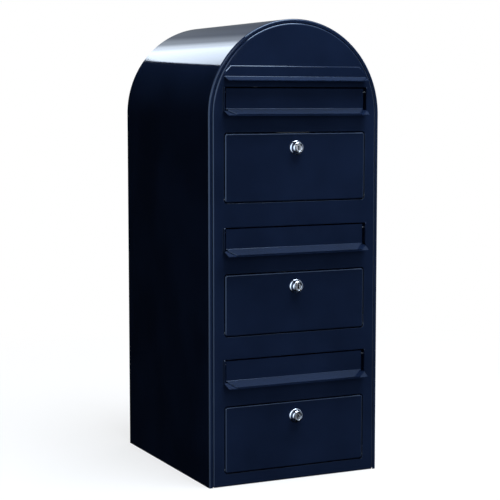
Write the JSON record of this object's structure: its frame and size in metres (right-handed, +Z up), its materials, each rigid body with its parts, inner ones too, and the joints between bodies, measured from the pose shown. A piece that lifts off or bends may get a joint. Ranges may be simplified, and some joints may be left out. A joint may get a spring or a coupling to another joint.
{
  "type": "mailbox",
  "caption": "Free-standing or wall-hung steel letterbox with a half-round top, stacked compartments, hooded letter slots with hanging flaps, and drop-down doors with cam locks.",
  "frame": {"origin": "centre of the bounding box's bottom face", "axes": "+Z up, -Y towards the front with the doors, +X to the right as seen from the front"},
  "size_m": [0.31, 0.378, 0.757],
  "materials": {
    "navy_powder_coat": "gloss powder coat",
    "zinc_steel": "zinc plated, satin",
    "lock_chrome": "polished",
    "black_rubber": "matt"
  },
  "bodies": {
    "cabinet": {"shell": "navy_powder_coat", "front_panel": "navy_powder_coat", "back_panel": "navy_powder_coat", "base_plate": "navy_powder_coat", "shelf_upper": "navy_powder_coat", "shelf_lower": "navy_powder_coat", "rain_hood": "navy_powder_coat", "slot_frame_upper": "navy_powder_coat", "slot_frame_middle": "navy_powder_coat", "slot_frame_lower": "navy_powder_coat", "mail_guard_upper": "zinc_steel", "mail_guard_middle": "zinc_steel", "mail_guard_lower": "zinc_steel", "flap_pin_upper": "zinc_steel", "flap_pin_middle": "zinc_steel", "flap_pin_lower": "zinc_steel", "hinge_rod_upper": "zinc_steel", "hinge_rod_middle": "zinc_steel", "hinge_rod_lower": "zinc_steel", "hinge_brackets_upper": "zinc_steel", "hinge_brackets_middle": "zinc_steel", "hinge_brackets_lower": "zinc_steel", "lock_keeper_upper": "zinc_steel", "lock_keeper_middle": "zinc_steel", "lock_keeper_lower": "zinc_steel", "rod_clips": "zinc_steel", "keeper_pads": "black_rubber"},
    "flap_upper_body": {"flap_upper": "navy_powder_coat"},
    "door_upper_body": {"door_upper": "navy_powder_coat", "door_liner_upper": "navy_powder_coat", "lock_barrel_upper": "lock_chrome", "lock_nut_upper": "zinc_steel"},
    "lock_upper_body": {"lock_plug_upper": "lock_chrome", "lock_cam_upper": "zinc_steel", "lock_screw_upper": "zinc_steel"},
    "flap_middle_body": {"flap_middle": "navy_powder_coat"},
    "door_middle_body": {"door_middle": "navy_powder_coat", "door_liner_middle": "navy_powder_coat", "lock_barrel_middle": "lock_chrome", "lock_nut_middle": "zinc_steel"},
    "lock_middle_body": {"lock_plug_middle": "lock_chrome", "lock_cam_middle": "zinc_steel", "lock_screw_middle": "zinc_steel"},
    "flap_lower_body": {"flap_lower": "navy_powder_coat"},
    "door_lower_body": {"door_lower": "navy_powder_coat", "door_liner_lower": "navy_powder_coat", "lock_barrel_lower": "lock_chrome", "lock_nut_lower": "zinc_steel"},
    "lock_lower_body": {"lock_plug_lower": "lock_chrome", "lock_cam_lower": "zinc_steel", "lock_screw_lower": "zinc_steel"}
  },
  "joints": [
    {"name": "flap_upper_hinge", "type": "hinge", "parent": "cabinet", "child": "flap_upper_body", "pos_m": [0, -0.167, 0.6393], "axis": [-1, 0, 0], "range_deg": [0, 70]},
    {"name": "door_upper_hinge", "type": "hinge", "parent": "cabinet", "child": "door_upper_body", "pos_m": [0, -0.168, 0.468], "axis": [1, 0, 0], "range_deg": [0, 90]},
    {"name": "lock_upper_turn", "type": "hinge", "parent": "door_upper_body", "child": "lock_upper_body", "pos_m": [0, -0.163, 0.5495], "axis": [0, -1, 0], "range_deg": [0, 90]},
    {"name": "flap_middle_hinge", "type": "hinge", "parent": "cabinet", "child": "flap_middle_body", "pos_m": [0, -0.167, 0.4148], "axis": [-1, 0, 0], "range_deg": [0, 70]},
    {"name": "door_middle_hinge", "type": "hinge", "parent": "cabinet", "child": "door_middle_body", "pos_m": [0, -0.168, 0.252], "axis": [1, 0, 0], "range_deg": [0, 90]},
    {"name": "lock_middle_turn", "type": "hinge", "parent": "door_middle_body", "child": "lock_middle_body", "pos_m": [0, -0.163, 0.3225], "axis": [0, -1, 0], "range_deg": [0, 90]},
    {"name": "flap_lower_hinge", "type": "hinge", "parent": "cabinet", "child": "flap_lower_body", "pos_m": [0, -0.167, 0.2008], "axis": [-1, 0, 0], "range_deg": [0, 70]},
    {"name": "door_lower_hinge", "type": "hinge", "parent": "cabinet", "child": "door_lower_body", "pos_m": [0, -0.168, 0.027], "axis": [1, 0, 0], "range_deg": [0, 90]},
    {"name": "lock_lower_turn", "type": "hinge", "parent": "door_lower_body", "child": "lock_lower_body", "pos_m": [0, -0.163, 0.107], "axis": [0, -1, 0], "range_deg": [0, 90]}
  ]
}
